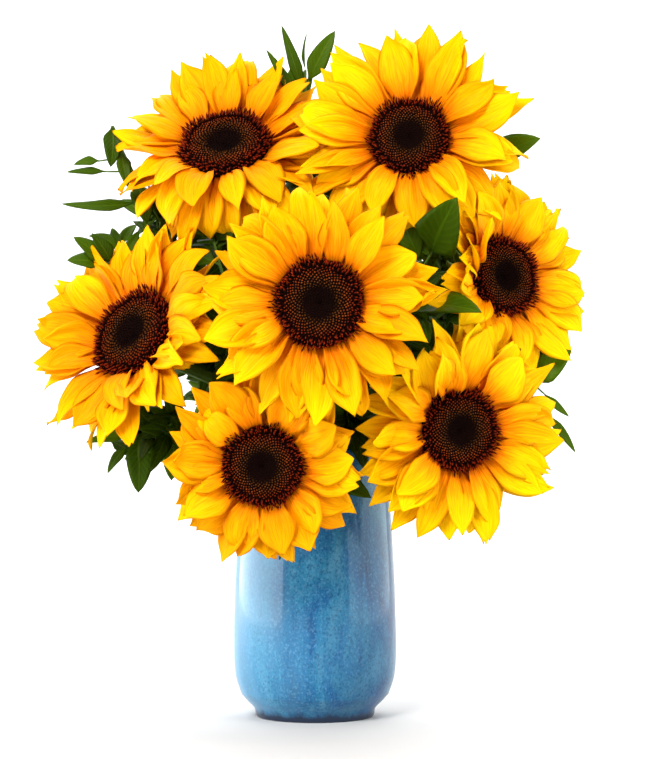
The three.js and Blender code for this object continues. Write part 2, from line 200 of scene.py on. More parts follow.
# a closed thin shell round a grid of middle points, added to a heap
def addShell(heap, sheet, thick, shade, bloom=None):
    grid, along, across = sheet
    nu, nv = grid.shape[:2]
    normal = unit(np.cross(np.gradient(grid, axis=0), np.gradient(grid, axis=1)) + 1e-12)
    lift = normal * (thick * mm) / 2
    lift[0] = lift[-1] = 0
    lift[:, 0] = lift[:, -1] = 0

    def skins(upper, under):
        return np.concatenate([upper.reshape(nu * nv, -1), under[1:-1, 1:-1].reshape((nu - 2) * (nv - 2), -1)])

    verts = skins(grid + lift, grid - lift)
    u = np.broadcast_to(along[:, None], (nu, nv))
    v = np.broadcast_to(across, (nu, nv))
    values = {"along": skins(u, u)[:, 0], "across": skins(v, v)[:, 0], "shade": float(np.clip(shade, 0, 1))}
    heap.add(fromHead(bloom, verts) if bloom else verts, shellFaces(nu, nv), values)


# quads between rows of points and a fan at either end, its middle after the last row
def skinFaces(rows, columns):
    index = np.arange(rows * columns).reshape(rows, columns)
    ahead = np.roll(index, -1, axis=1)
    walls = np.stack([index[:-1], ahead[:-1], ahead[1:], index[1:]], -1).reshape(-1, 4).tolist()
    first, last = rows * columns, rows * columns + 1
    caps = [(first, int(b), int(a)) for a, b in zip(index[0], ahead[0])]
    caps += [(last, int(a), int(b)) for a, b in zip(index[-1], ahead[-1])]
    return walls + caps


# a closed tube along points; relief(turn, share) adds to its radius
def tube(points, radii, sides, relief=None):
    points = np.asarray(points, dtype=float)
    tangents = unit(np.gradient(points, axis=0))
    side = unit(np.cross(tangents[0], [0.2, 1.0, 0.1]))
    turns = np.arange(sides) * 2 * math.pi / sides
    rings = []
    for i, tangent in enumerate(tangents):
        side = unit(side - tangent * side.dot(tangent))
        other = np.cross(tangent, side)
        radius = radii[i] + (relief(turns, i / (len(points) - 1)) if relief else 0)
        aside = (radius * np.cos(turns))[:, None]
        above = (radius * np.sin(turns))[:, None]
        rings.append(points[i] + side * aside + other * above)
    verts = np.concatenate([np.concatenate(rings), points[:1], points[-1:]])
    return verts, skinFaces(len(points), sides)


def lathe(profile, segments):
    profile = np.asarray(profile, dtype=float)
    turns = np.arange(segments) * 2 * math.pi / segments
    radii, heights = profile[1:-1, 0, None], profile[1:-1, 1, None]
    spread = np.broadcast_to(heights, (len(heights), segments))
    rings = np.stack([radii * np.cos(turns), radii * np.sin(turns), spread], -1)
    verts = np.concatenate([rings.reshape(-1, 3), [[0, 0, profile[0, 1]], [0, 0, profile[-1, 1]]]])
    return verts, skinFaces(len(heights), segments)


def smooth01(x):
    x = np.clip(x, 0, 1)
    return x * x * (3 - 2 * x)


# ---------- material helpers

# a node tree, where a node is added together with what its inputs are fed
class Tree:
    def __init__(self, tree):
        self.tree = tree

    def add(self, kind, given=None, **settings):
        node = self.tree.nodes.new(kind)
        for key, value in settings.items():
            setattr(node, key, value)
        for key, value in (given or {}).items():
            self.feed(node.inputs[key], value)
        return node

    def feed(self, socket, value):
        if isinstance(value, bpy.types.NodeSocket):
            self.tree.links.new(value, socket)
        else:
            socket.default_value = value

    def math(self, operation, a, b=0.0, clamp=False):
        return self.add("ShaderNodeMath", {0: a, 1: b}, operation=operation, use_clamp=clamp).outputs[0]

    def times(self, a, b):
        return self.math("MULTIPLY", a, b)

    def plus(self, a, b):
        return self.math("ADD", a, b)

    def minus(self, a, b):
        return self.math("SUBTRACT", a, b)

    def vector(self, x, y, z):
        return self.add("ShaderNodeCombineXYZ", {0: x, 1: y, 2: z}).outputs[0]


# a material and its shader
class Nodes(Tree):
    def __init__(self, name):
        self.material = bpy.data.materials.new(name)
        self.material.use_nodes = True
        super().__init__(self.material.node_tree)
        self.shader = self.tree.nodes["Principled BSDF"]
        self.coords = self.add("ShaderNodeTexCoord").outputs["Object"]

    def value(self, name):
        return self.add("ShaderNodeAttribute", attribute_name=name).outputs["Fac"]

    def place(self, scale=(1, 1, 1)):
        return self.add("ShaderNodeMapping", {"Vector": self.coords, "Scale": scale}).outputs[0]

    def noise(self, vector, scale, detail=3.0, rough=0.5, distortion=0.0):
        given = {"Vector": vector, "Scale": scale, "Detail": detail, "Roughness": rough,
                 "Distortion": distortion}
        return self.add("ShaderNodeTexNoise", given).outputs["Fac"]

    def ramp(self, factor, stops):
        node = self.add("ShaderNodeValToRGB", {"Fac": factor})
        marks = node.color_ramp.elements
        while len(marks) < len(stops):
            marks.new(0.5)
        for mark, (at, colour) in zip(marks, stops):
            mark.position = at
            mark.color = (*colour, 1) if isinstance(colour, tuple) else (colour, colour, colour, 1)
        return node.outputs["Color"]

    def mix(self, factor, a, b, blend="MIX"):
        # a mix of colours reads the sixth and seventh inputs
        a, b = ((*value, 1) if isinstance(value, tuple) else value for value in (a, b))
        return self.add("ShaderNodeMix", {0: factor, 6: a, 7: b}, data_type="RGBA", blend_type=blend).outputs[2]

    def bump(self, height, strength, distance):
        given = {"Height": height, "Strength": strength, "Distance": distance}
        self.feed(self.shader.inputs["Normal"], self.add("ShaderNodeBump", given).outputs[0])

    def paint(self, body, rough, gloss):
        for key, value in (("Base Color", body), ("Roughness", rough), ("Specular IOR Level", gloss)):
            self.feed(self.shader.inputs[key], value)
        return self.material


# ---------- vase

vaseLook = {
    "lipFrom": 165.0,
    "lipRadius": 44.5,
    "lipRise": 3.0,
    "wall": 5.0,
    "floor": 8.0,
    "segments": 160,
    # height and outer radius, from the foot up
    "outside": [(0.0, 36.2), (0.9, 37.1), (3.2, 37.3), (5.0, 37.5), (6.8, 38.9), (9.4, 41.8), (12.0, 44.2),
                (15.9, 46.6), (22.0, 49.1), (28.0, 50.1), (36.0, 50.6), (48.0, 50.7), (62.0, 50.5),
                (84.0, 49.9), (104.0, 48.9), (124.0, 47.7), (144.0, 46.2), (160.0, 44.9), (165.0, 44.5)],
    "smoothing": 3,
    # radius and height
    "underside": [(12.0, 0.0), (30.0, 0.0), (34.6, 0.0)],
    "corner": [(40.5, 12.5), (38.5, 10.0), (36.0, 8.6), (32.0, 8.0), (16.0, 8.0)],
    "wobble": 0.12,
    "deep": (0.003, 0.034, 0.120),
    "mid": (0.005, 0.100, 0.260),
    "soft": (0.022, 0.185, 0.340),
    "pale": (0.095, 0.310, 0.480),
    "speck": (0.115, 0.320, 0.500),
    "violet": (0.034, 0.088, 0.240),
    # painted shade, multiplied into one side of the vase, and a painted reflection laid over the other
    "thick": (0.58, 0.62, 0.64),
    "thin": (0.130, 0.400, 0.600),
    # painted shade round the bottom of the foot
    "foot": (0.010, 0.020, 0.045),
}


# from the middle of the underside, up the outside and down to the middle of the inner floor
def vaseProfile():
    look = vaseLook
    lipFrom, wall = look["lipFrom"], look["wall"]
    heights, radii = (np.array(column) for column in zip(*look["outside"]))
    fine = np.concatenate([np.linspace(0, 14, 26), np.linspace(14, lipFrom, 60)[1:]])
    outer = np.stack([np.interp(fine, heights, radii), fine], -1)
    for _ in range(look["smoothing"]):
        outer[1:-1, 0] = (outer[:-2, 0] + 2 * outer[1:-1, 0] + outer[2:, 0]) / 4
    turn = np.linspace(0, math.pi, 9)[1:-1]
    lipRadii = look["lipRadius"] - wall / 2 + wall / 2 * np.cos(turn)
    lip = np.stack([lipRadii, lipFrom + look["lipRise"] * np.sin(turn)], -1)
    downwards = np.linspace(lipFrom, look["floor"] + 8, 40)
    inner = np.stack([np.interp(downwards, heights, radii) - wall, downwards], -1)
    end = [(0, look["floor"])]
    return np.concatenate([[(0, 0)], look["underside"], outer, lip, inner, look["corner"], end]) * mm


def makeGlaze():
    look, glaze = vaseLook, Nodes("blueGlaze")
    times, plus, mix, ramp, noise, place = (
        glaze.times, glaze.plus, glaze.mix, glaze.ramp, glaze.noise, glaze.place)
    broad = noise(place((1, 1, 0.55)), 30, 6, 0.62, 0.8)
    drip = noise(place((1, 1, 0.22)), 85, 4, 0.6, 0.3)
    cloud = plus(times(broad, 0.68), times(drip, 0.32))
    stops = [(0.36, look["deep"]), (0.46, look["mid"]), (0.55, look["soft"]), (0.66, look["pale"])]
    body = ramp(cloud, stops)
    speck = ramp(noise(place((1, 1, 0.85)), 640, 3, 0.65), [(0.50, 0.0), (0.66, 1.0)])
    body = mix(times(speck, 0.46), body, look["speck"])
    dark = ramp(noise(place((1, 1, 0.8)), 720, 4, 0.7), [(0.36, 1.0), (0.50, 0.0)])
    body = mix(times(dark, 0.66), body, look["deep"])
    tint = ramp(noise(place(), 20, 2), [(0.46, 0.0), (0.72, 1.0)])
    body = mix(times(tint, 0.22), body, look["violet"])
    spot = glaze.add("ShaderNodeSeparateXYZ", {0: place()})
    # painted shade darkens the glaze on one side and a painted reflection pales it on the other
    paintedShadeSide = plus(times(spot.outputs["X"], 12.0), times(broad, 1.1))
    body = mix(ramp(paintedShadeSide, [(0.60, 0.0), (1.0, 1.0)]), body, look["thick"], "MULTIPLY")
    thin = times(ramp(paintedShadeSide, [(0.0, 1.0), (0.50, 0.0)]), 0.5)
    body = mix(thin, body, look["thin"])
    # and is painted a dark blue round the bottom of the foot: painted shade
    edge = plus(spot.outputs["Z"], times(drip, 0.008))
    bare = ramp(glaze.math("MULTIPLY", edge, 60, clamp=True), [(0.40, 1.0), (0.66, 0.0)])
    body = mix(bare, body, look["foot"])
    glaze.bump(noise(place(), 140, 4, 0.55), 0.25, 0.0006)
    for key, value in (("Coat Weight", 0.45), ("Coat Roughness", 0.08), ("Coat IOR", 1.45)):
        glaze.shader.inputs[key].default_value = value
    return glaze.paint(body, plus(times(speck, 0.12), 0.28), 0.15)


def buildVase():
    verts, faces = lathe(vaseProfile(), vaseLook["segments"])
    turn = np.arctan2(verts[:, 1], verts[:, 0])
    wave = np.sin(2 * turn + 0.7) * 0.6 + np.sin(3 * turn + verts[:, 2] * 55) * 0.4
    swell = 1 + vaseLook["wobble"] * mm * wave / 0.05 * smooth01(verts[:, 2] / 0.02)
    verts[:, :2] *= swell[:, None]
    addPiece("vaseBody", verts, faces, makeGlaze(), ["vase"])


buildVase()
print("vase built")


# ---------- the bunch: where each head is, and the line of its stem

bundle = {"mouthHeight": 168.0, "ring": 33.0, "footRing": 26.0, "twist": 45.0, "foot": 10.0, "steps": 15}

# cup lifts the rays from the disc's plane and curl bends them; the tone after the seed runs from amber
# petals (0) to lemon ones (1), partly each head's own tone and partly painted light and shade, heads in
# more light made lemon and heads in shade amber; a lobe is (at, spread, cup, curl) round the ring, and
# arches are the places of petals that bow over the disc
bloomKeys = ("mouth", "rise", "neck", "cup", "curl", "seed", "headToneAndLight", "lobes", "arches")
bloomRows = {
    "centre": (-86, 62, 34, 14, -12, 11, 0.48, [(-80, 60, -4, -14)], [-25, 205]),
    "upper_right": (42, 95, 50, 14, -10, 22, 0.70, [(-88, 80, -24, -84)], [-118, -92, -68, -48]),
    "upper_left": (132, 100, 50, 22, -14, 33, 0.46, [(-90, 80, -24, -98), (90, 80, 18, 4)],
                   [-138, -110, -80, -48]),
    "left": (178, 45, 32, 18, -12, 44, 0.36, [(-20, 75, 34, -50), (180, 75, 16, 0)], [-78, -50, -18, 12]),
    "right": (-10, 60, 34, 14, -8, 55, 0.92, [(165, 100, 56, -40)], [182, 212, 244]),
    "lower_right": (-48, 44, 30, 12, -16, 66, 0.82, [(135, 62, 54, -40)], [112, 150, 190, 224]),
    "lower_left": (-122, 46, 26, 10, -20, 77, 0.20, [(48, 48, 34, -30)], [140, 188]),
}
blooms = {name: dict(zip(bloomKeys, row)) for name, row in bloomRows.items()}


def onRing(radius, degrees, height):
    turn = math.radians(degrees)
    return np.array([radius * math.cos(turn), radius * math.sin(turn), height])


def bundleLine(ring, mouth, foot):
    low = onRing(ring + bundle["footRing"] - bundle["ring"], mouth - bundle["twist"], bundle["foot"])
    high = onRing(ring, mouth, bundle["mouthHeight"])
    share = (foot - bundle["foot"]) / (bundle["mouthHeight"] - bundle["foot"])
    return (low + (high - low) * share) * mm, high * mm


def stemLine(ring, mouth, foot, rise, end, comes, pull, steps):
    low, high = bundleLine(ring, mouth, foot)
    lean = unit(high - low)
    t = np.linspace(0, 1, steps)[:, None]
    a, b, c, d = high, high + lean * rise * mm, end - comes * pull * mm, end
    bend = a * (1 - t) ** 3 + 3 * b * t * (1 - t) ** 2 + 3 * c * t * t * (1 - t) + d * t ** 3
    straight = low + (high - low) * np.linspace(0, 1, bundle["steps"] + 1)[:-1, None]
    return np.concatenate([straight, bend])


discDepth = 8.0     # how far a disc's solid reaches down from the head's own plane


# reads a head's place, facing and sizes from its solids
def readHead(name):
    discVerts, discMiddle = nodeShape(f"{name}_disc")
    calyxMiddle = nodeShape(f"{name}_calyx")[1]
    rayVerts = nodeShape(f"{name}_rays")[0]
    facing = unit(discMiddle - calyxMiddle)
    right = unit(np.cross([0, 0, 1], facing))
    up = np.cross(facing, right)
    depth = (discVerts - discMiddle) @ facing
    at = discMiddle + facing * (depth.min() + discDepth * mm)

    def farthest(verts):
        away = verts - at
        return np.linalg.norm(away - (away @ facing)[:, None] * facing, axis=1).max()

    axes = np.stack([right, up, facing])
    return {"at": at, "axes": axes, "disc": farthest(discVerts), "reach": farthest(rayVerts)}


for name, bloom in blooms.items():
    bloom.update(readHead(name))


def fromHead(bloom, local):
    return bloom["at"] + np.asarray(local) @ bloom["axes"]


# ---------- ray petals

rays = {
    "grid": (26, 11),
    "thick": 0.55,
    "rootHeight": -3.5,
    "inside": 1.2,        # how far inside the disc's edge a petal starts
    # count, length share, added cup, added curl, root height, least and most width
    "whorls": [(19, 1.07, -6.0, 2.0, -1.8, 15.0, 22.0), (15, 1.0, 2.0, -6.0, -0.4, 22.0, 29.0),
               (10, 0.88, 11.0, -20.0, 1.2, 21.0, 28.0)],
    # the few that stand up at the disc's edge and bow over
    "arch": {"length": 0.78, "cup": 46.0, "curl": -92.0, "root": 1.8, "inside": 3.0, "stray": 4,
             "width": (19, 25)},
    # least and most
    "length": (0.94, 1.10),
    "belly": (0.42, 0.62),
    "point": (2.6, 4.0),
    "teeth": (0.02, 0.045),
    "channel": (-0.05, 0.30),
    "ruffle": (0.3, 2.2),
    # how much petals stray: in degrees, in degrees, middle and stray, and at root and tip in radians
    "cupStray": 5.5,
    "curlStray": 13,
    "tipCurl": (-4, 26),
    "yaw": (0.12, 0.24),
    "twist": (0.16, 0.42),
    "shadeStray": 0.38,
    "pleat": 0.8,
    "folds": [2.0, 2.5, 3.0],
    "notched": 0.12,
    "tip": (0.96, 0.53, 0.0),
    "middle": (0.96, 0.40, 0.0),
    "base": (0.82, 0.20, 0.0),
    "root": (0.38, 0.055, 0.0),
    # the amber below is laid on heads of low tone and on petal edges: partly the petals' own tone, partly
    # painted shade; the lemon goes on the tips of heads of high tone: partly own tone, partly painted light
    "amberToneAndShade": (0.80, 0.24, 0.0),
    "lemon": (1.0, 0.64, 0.0),
    "crease": (0.72, 0.52, 0.2),
}


def lobeShare(at, spread, angle):
    away = abs((angle - at + 180) % 360 - 180)
    return 0.5 + 0.5 * math.cos(math.pi * away / spread) if away < spread else 0.0


def petalSheet(rng, bloom, angle, lengthShare, cup, curl, rootUp, width, inside):
    nu, nv = rays["grid"]
    t = np.linspace(0, 1, nu) ** 0.92
    v = np.linspace(-1, 1, nv)
    length = (bloom["reach"] - bloom["disc"]) * lengthShare * rng.uniform(*rays["length"])
    cup += rng.normal(0, rays["cupStray"])
    curl += rng.normal(0, rays["curlStray"])
    tipCurl = rng.normal(*rays["tipCurl"])
    slope = np.radians(cup + curl * t + tipCurl * smooth01((t - 0.62) / 0.38))
    yaw = rng.normal(0, rays["yaw"][0]) + rng.normal(0, rays["yaw"][1]) * t ** 1.5
    step = np.diff(t, prepend=0)
    out = np.cumsum(length * step * np.cos(slope) * np.cos(yaw)) + bloom["disc"] - inside * mm
    up = np.cumsum(length * step * np.sin(slope)) + (rays["rootHeight"] + rootUp) * mm
    aside = np.cumsum(length * step * np.sin(yaw))
    middle = np.stack([out, aside, up], -1)
    along = unit(np.stack([np.cos(slope) * np.cos(yaw), np.sin(yaw), np.sin(slope)], -1))
    side = unit(np.cross(np.stack([-np.sin(slope), 0 * slope, np.cos(slope)], -1), along))
    face = np.cross(along, side)
    twist = rng.normal(0, rays["twist"][0]) + rng.normal(0, rays["twist"][1]) * t ** 1.6
    turnedSide = side * np.cos(twist)[:, None] + face * np.sin(twist)[:, None]
    turnedFace = np.cross(along, turnedSide)
    belly = 0.46 + 0.54 * smooth01(t / rng.uniform(*rays["belly"]))
    point = (1 - t ** rng.uniform(*rays["point"])) ** 0.75 * (1 - 0.45 * smooth01((t - 0.72) / 0.28))
    teeth = 0.0
    if rng.random() < rays["notched"]:
        point = 0.26 + 0.74 * point
        teeth = rng.uniform(*rays["teeth"])
    breadth = width * belly * point + 0.12 * mm
    channel = rng.uniform(*rays["channel"]) * (1 - 0.4 * t)
    pleat = rays["pleat"] * mm * np.sin(np.pi * np.clip(t * 1.12, 0, 1)) ** 0.6
    folds = rng.choice(rays["folds"])
    ruffle = rng.uniform(*rays["ruffle"]) * mm
    phase = rng.uniform(0, 6.28, 2)
    rise = channel[:, None] * breadth[:, None] * v ** 2
    rise = rise + pleat[:, None] * np.cos(folds * math.pi * v + phase[0] * 0.2)
    rise = rise + ruffle * np.sin(9 * t + phase[1])[:, None] * v ** 3 * smooth01(t / 0.3)[:, None]
    grid = middle[:, None] + turnedSide[:, None] * (v[:, None] * breadth[:, None, None] / 2)
    grid = grid + turnedFace[:, None] * rise[..., None]
    jag = teeth * length * (np.cos(1.6 * math.pi * v + phase[0]) - 1)
    bite = jag * smooth01((t - 0.7) / 0.3)[:, None]
    grid = grid + along[:, None] * bite[..., None]
    turn = math.radians(angle)
    c, s = math.cos(turn), math.sin(turn)
    x, y, z = np.moveaxis(grid, -1, 0)
    return np.stack([x * c - y * s, x * s + y * c, z], -1), t, v


def makePetalLook():
    look = Nodes("rayPetal")
    along, across, shade = look.value("along"), look.value("across"), look.value("shade")
    streakPlace = look.vector(look.times(along, 2.2), look.times(across, 9.0), look.times(shade, 61.0))
    streak = look.noise(streakPlace, 1.6, 3, 0.6)
    reach = look.plus(along, look.times(look.minus(streak, 0.5), 0.30))
    stops = [(0.0, rays["root"]), (0.15, rays["base"]), (0.46, rays["middle"]), (0.88, rays["tip"])]
    body = look.ramp(reach, stops)
    # heads and petals of low tone turn amber: partly their own tone, partly painted shade on heads that get
    # less light
    warm = look.ramp(shade, [(0.0, 1.0), (0.6, 0.0)])
    body = look.mix(look.times(warm, 0.62), body, rays["amberToneAndShade"])
    # painted shade: the petals' edges are darkened towards amber, standing for the shade where petals overlap
    # and between them
    rim = look.ramp(look.math("ABSOLUTE", across), [(0.72, 0.0), (1.0, 1.0)])
    body = look.mix(look.times(rim, 0.45), body, rays["amberToneAndShade"])
    # tips of heads and petals of high tone turn lemon: partly their own tone, partly painted light on heads
    # that get more light
    lemonToneAndLight = look.ramp(shade, [(0.6, 0.0), (1.0, 1.0)])
    lemonToneAndLight = look.times(lemonToneAndLight, look.ramp(along, [(0.3, 0.0), (0.8, 0.7)]))
    body = look.mix(lemonToneAndLight, body, rays["lemon"])
    lines = look.ramp(streak, [(0.34, rays["crease"]), (0.58, (1.0, 1.0, 1.0))])
    look.bump(streak, 0.25, 0.0005)
    return look.paint(look.mix(0.6, body, lines, "MULTIPLY"), 0.55, 0.03)


petalLook = makePetalLook()


def turnedBy(bloom, angle):
    cup, curl = 0.0, 0.0
    for at, spread, moreCup, moreCurl in bloom["lobes"]:
        share = lobeShare(at, spread, angle)
        cup += moreCup * share
        curl += moreCurl * share
    return cup, curl


# angles round a head, evenly spaced but for a seeded stray
def around(rng, count):
    start = rng.uniform(0, 360)
    for k in range(count):
        yield start + 360 * (k + rng.uniform(-0.2, 0.2)) / count


# what petalSheet needs for each petal of a head
def petalPlan(rng, bloom):
    plan = []
    for count, lengthShare, moreCup, moreCurl, rootUp, least, most in rays["whorls"]:
        for angle in around(rng, count):
            lobeCup, lobeCurl = turnedBy(bloom, angle)
            cup, curl = bloom["cup"] + moreCup + lobeCup, bloom["curl"] + moreCurl + lobeCurl
            plan.append((angle, lengthShare, cup, curl, rootUp, rng.uniform(least, most) * mm, rays["inside"]))
    arch = rays["arch"]
    for angle in bloom["arches"]:
        plan.append((angle + rng.normal(0, arch["stray"]), arch["length"], arch["cup"], arch["curl"],
                     arch["root"], rng.uniform(*arch["width"]) * mm, arch["inside"]))
    return plan


for name, bloom in blooms.items():
    rng = np.random.default_rng(bloom["seed"])
    heap = Heap()
    for petal in petalPlan(rng, bloom):
        sheet = petalSheet(rng, bloom, *petal)
        # a petal's tone is its head's tone, which carries painted light and shade, plus a random stray
        stray = rng.uniform(-rays["shadeStray"], rays["shadeStray"])
        addShell(heap, sheet, rays["thick"], bloom["headToneAndLight"] + stray, bloom)
    heap.piece(f"{name}Petals", petalLook, "ray", [f"{name}_rays"])
print("petals built")


# ---------- seed discs: a dome with florets set in a spiral by geometry nodes

disc = {
    "total": 800,
    "dome": 4.6,
    "floor": -1.2,
    "heart": 0.16,        # share of the florets that are still tight buds
    "rim": 0.60,          # and from where they stand tall
    # size, outward lean and raggedness of each kind of floret
    "bud": (0.98, 0.5, 0.08),
    "open": (1.08, 0.45, 0.16),
    "spike": (1.34, 0.78, 0.46),
    "radius": 27.0,       # of the disc that these sizes are for
    "wave": 0.08,         # how far the rim swells in and out
    "soil": (0.002, 0.001, 0.0006),
    "soilPale": (0.010, 0.002, 0.001),
    # florets' colours at foot and tip, from the disc's middle to its edge
    "foot": [(0.0, (0.0006, 0.0004, 0.0004)), (0.40, (0.003, 0.001, 0.0008)),
             (0.72, (0.020, 0.002, 0.001)), (1.0, (0.030, 0.0025, 0.001))],
    "tip": [(0.0, (0.0012, 0.0008, 0.0006)), (0.34, (0.003, 0.0014, 0.001)), (0.47, (0.21, 0.066, 0.012)),
            (0.64, (0.42, 0.078, 0.010)), (0.78, (0.38, 0.034, 0.004)), (1.0, (0.46, 0.032, 0.003))],
    "dull": (0.006, 0.0012, 0.0008),
}


def spindle(name, rings, sides, bend=0.0):
    verts, faces = [], []
    for radius, height in rings[:-1]:
        for k in range(sides):
            turn = 2 * math.pi * k / sides
            verts.append((radius * math.cos(turn) + bend * height * height, radius * math.sin(turn), height))
    apex, top = len(verts), rings[-1][1]
    verts.append((bend * top ** 2, 0, top))
    for i in range(len(rings) - 2):
        for k in range(sides):
            a, b = i * sides + k, i * sides + (k + 1) % sides
            faces.append((a, b, b + sides, a + sides))
    for k in range(sides):
        faces.append((apex - sides + k, apex - sides + (k + 1) % sides, apex))
    faces.append(tuple(reversed(range(sides))))
    mesh = bpy.data.meshes.new(name)
    mesh.from_pydata(verts, [], faces)
    tall = mesh.attributes.new("tall", "FLOAT", "POINT")
    tall.data.foreach_set("value", [v[2] / top for v in verts])
    return place(name, mesh)


# geometry nodes that set florets in a spiral, and the names of the sockets they take
def makeSpiral():
    group = bpy.data.node_groups.new("floretSpiral", "GeometryNodeTree")
    face = group.interface
    face.new_socket("Geometry", in_out="INPUT", socket_type="NodeSocketGeometry")
    kinds = {"Int": "Count First Total Seed", "Float": "Radius Dome Lean Size Ragged Wave", "Object": "Floret",
             "Material": "Material"}
    sockets = {}
    for kind, labels in kinds.items():
        for label in labels.split():
            socket = face.new_socket(label, in_out="INPUT", socket_type=f"NodeSocket{kind}")
            sockets[label] = socket.identifier
    face.new_socket("Geometry", in_out="OUTPUT", socket_type="NodeSocketGeometry")
    tree = Tree(group)
    calc, times, plus, minus, join, add = tree.math, tree.times, tree.plus, tree.minus, tree.vector, tree.add
    given = add("NodeGroupInput").outputs

    def scatter(low, high, salt):
        fed = {2: low, 3: high, "Seed": plus(given["Seed"], salt)}
        return add("FunctionNodeRandomValue", fed, data_type="FLOAT").outputs[1]

    number = plus(add("GeometryNodeInputIndex").outputs[0], given["First"])
    turn = times(number, math.radians(137.50776))
    across, aside = calc("COSINE", turn), calc("SINE", turn)
    share = calc("SQRT", calc("DIVIDE", plus(number, 0.5), given["Total"]))
    wave = calc("SINE", plus(times(turn, 5.0), given["Seed"]))
    edge = times(calc("POWER", share, 6.0), times(wave, given["Wave"]))
    radius = times(times(share, given["Radius"]), plus(edge, 1.0))
    hump = calc("POWER", calc("ABSOLUTE", minus(times(share, 1.5), 0.82)), 2.0)
    height = times(minus(1.0, hump), given["Dome"])
    position = join(times(radius, across), times(radius, aside), height)
    points = add("GeometryNodePoints", {"Count": given["Count"], "Position": position})
    tilt = times(minus(times(share, 1.8), 0.75), given["Lean"])
    aim = join(plus(times(tilt, across), times(scatter(-1.0, 1.0, 1), given["Ragged"])),
               plus(times(tilt, aside), times(scatter(-1.0, 1.0, 2), given["Ragged"])), 1.0)
    spin = add("FunctionNodeEulerToRotation", {0: join(0.0, 0.0, turn)}).outputs[0]
    facing = add("FunctionNodeAlignRotationToVector", {"Rotation": spin, "Vector": aim}, axis="Z").outputs[0]
    source = add("GeometryNodeObjectInfo", {"Object": given["Floret"]}).outputs["Geometry"]
    size = times(given["Size"], scatter(0.84, 1.18, 3))
    fed = {"Points": points.outputs[0], "Instance": source, "Rotation": facing, "Scale": size}
    last = add("GeometryNodeInstanceOnPoints", fed).outputs[0]
    for label, value in (("ring", share), ("shade", scatter(0.0, 1.0, 4))):
        fed = {"Geometry": last, "Name": label, "Value": value}
        last = add("GeometryNodeStoreNamedAttribute", fed, data_type="FLOAT", domain="INSTANCE").outputs[0]
    last = add("GeometryNodeRealizeInstances", {0: last}).outputs[0]
    last = add("GeometryNodeSetMaterial", {"Geometry": last, "Material": given["Material"]}).outputs[0]
    add("NodeGroupOutput", {0: last})
    return group, sockets


def makeFloretLook():
    look = Nodes("floret")
    ring, tall, shade = look.value("ring"), look.value("tall"), look.value("shade")
    upwards = look.ramp(tall, [(0.50, 0.0), (0.97, 1.0)])
    body = look.mix(upwards, look.ramp(ring, disc["foot"]), look.ramp(ring, disc["tip"]))
    body = look.mix(look.times(shade, 0.55), body, disc["dull"])
    look.bump(look.noise(look.place(), 2600, 2), 0.3, 0.0003)
    return look.paint(body, 0.8, 0.03)


floretLook = makeFloretLook()
floretSources = {
    "bud": spindle("budSource", [(0.34, -0.5), (0.52, 0.45), (0.38, 0.95), (0, 1.25)], 6),
    "open": spindle("openSource", [(0.28, -0.5), (0.33, 0.7), (0.50, 1.25), (0.20, 1.35), (0, 1.75)], 5),
    "spike": spindle("spikeSource", [(0.26, -0.5), (0.34, 1.2), (0.40, 2.0), (0.22, 2.6), (0, 3.3)], 5, 0.035),
}
spiralGroup, spiralSockets = makeSpiral()

soilLook = Nodes("discHeart")
soilGrain = soilLook.noise(soilLook.place(), 900, 3)
soilLook.paint(soilLook.mix(soilGrain, disc["soil"], disc["soilPale"]), 0.85, 0.03)
soilLook.bump(soilLook.noise(soilLook.place(), 1400, 2), 0.5, 0.0004)


def growFlorets(kind, first, end, bloom):
    size, lean, ragged = disc[kind]
    host = place("floretHost", bpy.data.meshes.new("floretHost"))
    spiral = host.modifiers.new("spiral", "NODES")
    spiral.node_group = spiralGroup
    given = {"Count": end - first, "First": first, "Total": disc["total"], "Radius": bloom["disc"] - 0.4 * mm,
             "Dome": disc["dome"] * mm, "Lean": lean, "Size": size * bloom["disc"] / disc["radius"],
             "Ragged": ragged, "Wave": disc["wave"], "Seed": bloom["seed"], "Floret": floretSources[kind],
             "Material": floretLook}
    for label, value in given.items():
        spiral[spiralSockets[label]] = value
    graph = bpy.context.evaluated_depsgraph_get()
    grown = host.evaluated_get(graph)
    mesh = bpy.data.meshes.new_from_object(grown, preserve_all_data_layers=True, depsgraph=graph)
    bpy.data.objects.remove(host)
    return mesh


def settle(mesh, bloom, offset):
    verts = np.empty(len(mesh.vertices) * 3, dtype=np.float32)
    mesh.vertices.foreach_get("co", verts)
    local = verts.reshape(-1, 3).astype(float)
    local[:, 2] += offset
    mesh.vertices.foreach_set("co", fromHead(bloom, local).astype(np.float32).ravel())
    mesh.update()
    return mesh


for name, bloom in blooms.items():
    share = np.linspace(0, 1, 14)
    dome = (1 - (share * 1.5 - 0.82) ** 2) * disc["dome"] + disc["floor"]
    top = np.stack([share * (bloom["disc"] - 1.0 * mm), dome * mm], -1)[::-1]
    low = [(0, -discDepth * mm), (bloom["disc"] * 0.6, -discDepth * mm), (bloom["disc"] - 2 * mm, -7.4 * mm),
           (bloom["disc"] - 0.8 * mm, -3 * mm)]
    verts, faces = lathe(np.concatenate([low, top]), 48)
    addPiece(f"{name}DiscHeart", fromHead(bloom, verts), faces, soilLook.material, [f"{name}_disc"])
    heart, rim = int(disc["total"] * disc["heart"]), int(disc["total"] * disc["rim"])
    belts = [("bud", 0, heart, "DiscBuds"), ("open", heart, rim, "DiscFlorets"),
             ("spike", rim, disc["total"], "DiscRim")]
    for kind, first, end, label in belts:
        mesh = growFlorets(kind, first, end, bloom)
        mesh.shade_smooth()
        placePiece(name + label, settle(mesh, bloom, disc["floor"] * mm), floretLook)
for source in floretSources.values():
    bpy.data.objects.remove(source)
print("seed discs grown")


